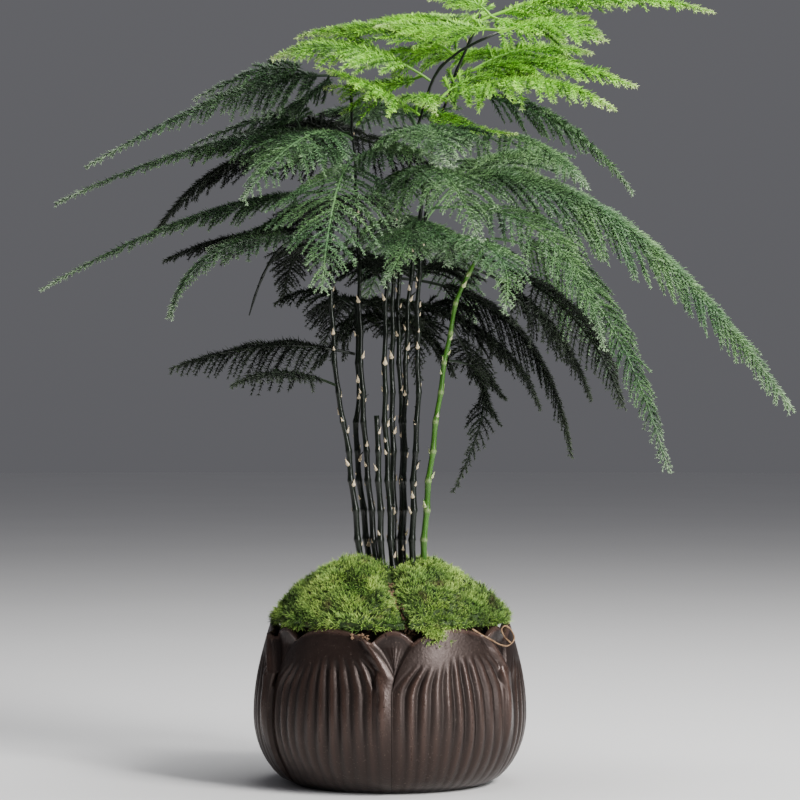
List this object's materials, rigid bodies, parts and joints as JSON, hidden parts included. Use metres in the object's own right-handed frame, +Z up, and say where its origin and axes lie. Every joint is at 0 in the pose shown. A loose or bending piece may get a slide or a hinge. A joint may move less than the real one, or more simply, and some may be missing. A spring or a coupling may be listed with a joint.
{
  "type": "potted lace fern",
  "caption": "Lace fern with thin upright canes and flat feathery sprays, in a moss-topped bowl pressed with overlapping ribbed lotus petals.",
  "frame": {"origin": "centre of the bowl's flat foot, on the surface that it stands on", "axes": "+Z up along the bowl's axis, -Y towards the front, +X to the right seen from the front"},
  "size_m": [0.358, 0.21, 0.3767],
  "materials": {
    "clay": "satin",
    "soil": "matte",
    "moss": "matte",
    "cane_dark": "satin",
    "cane_green": "satin",
    "frond_bright": "matte",
    "frond_green": "matte",
    "frond_dark": "matte"
  },
  "bodies": {
    "root": {"bowl": "clay", "soil": "soil", "moss_front_left": "moss", "moss_front_right": "moss", "moss_back_right": "moss", "moss_back_left": "moss", "cane_1": "cane_dark", "cane_2": "cane_dark", "cane_3": "cane_dark", "cane_4": "cane_dark", "cane_5": "cane_dark", "cane_6": "cane_dark", "cane_7": "cane_dark", "cane_8": "cane_dark", "cane_9": "cane_green", "cane_10": "cane_dark", "spray_top_right": "frond_bright", "spray_top_back": "frond_bright", "spray_crown_right": "frond_bright", "spray_crown_far_right": "frond_bright", "spray_crown_low_right": "frond_bright", "spray_crown_back_left": "frond_bright", "spray_crown_left": "frond_bright", "spray_crown_low_left": "frond_bright", "spray_crown_front": "frond_green", "spray_right_hook": "frond_green", "spray_left_arm_1": "frond_green", "spray_left_arm_2": "frond_green", "spray_left_back": "frond_dark", "spray_left_arm_3": "frond_green", "spray_left_front": "frond_green", "spray_left_low_back": "frond_dark", "spray_left_inner_back": "frond_dark", "spray_bare_twig": "frond_dark", "spray_back_left": "frond_dark", "spray_low_left": "frond_dark", "spray_low_left_front": "frond_dark", "spray_front_face": "frond_green", "spray_front_right_face": "frond_green", "spray_front_low": "frond_green", "spray_front_right_low": "frond_green", "spray_right_bright": "frond_green", "spray_right_arm": "frond_green", "spray_right_fall": "frond_green", "spray_right_strand_1": "frond_dark", "spray_right_strand_2": "frond_dark", "spray_right_dark_1": "frond_dark", "spray_right_dark_2": "frond_dark", "spray_hanging": "frond_dark", "spray_right_dark_3": "frond_dark", "spray_back_grey": "frond_green", "spray_back_1": "frond_green", "spray_back_2": "frond_green", "spray_back_3": "frond_dark", "spray_back_low": "frond_dark", "spray_back_left_high": "frond_dark", "spray_back_top": "frond_bright", "spray_mid_left_face": "frond_green", "spray_mid_right_face": "frond_green", "spray_back_crown": "frond_green"}
  },
  "joints": []
}
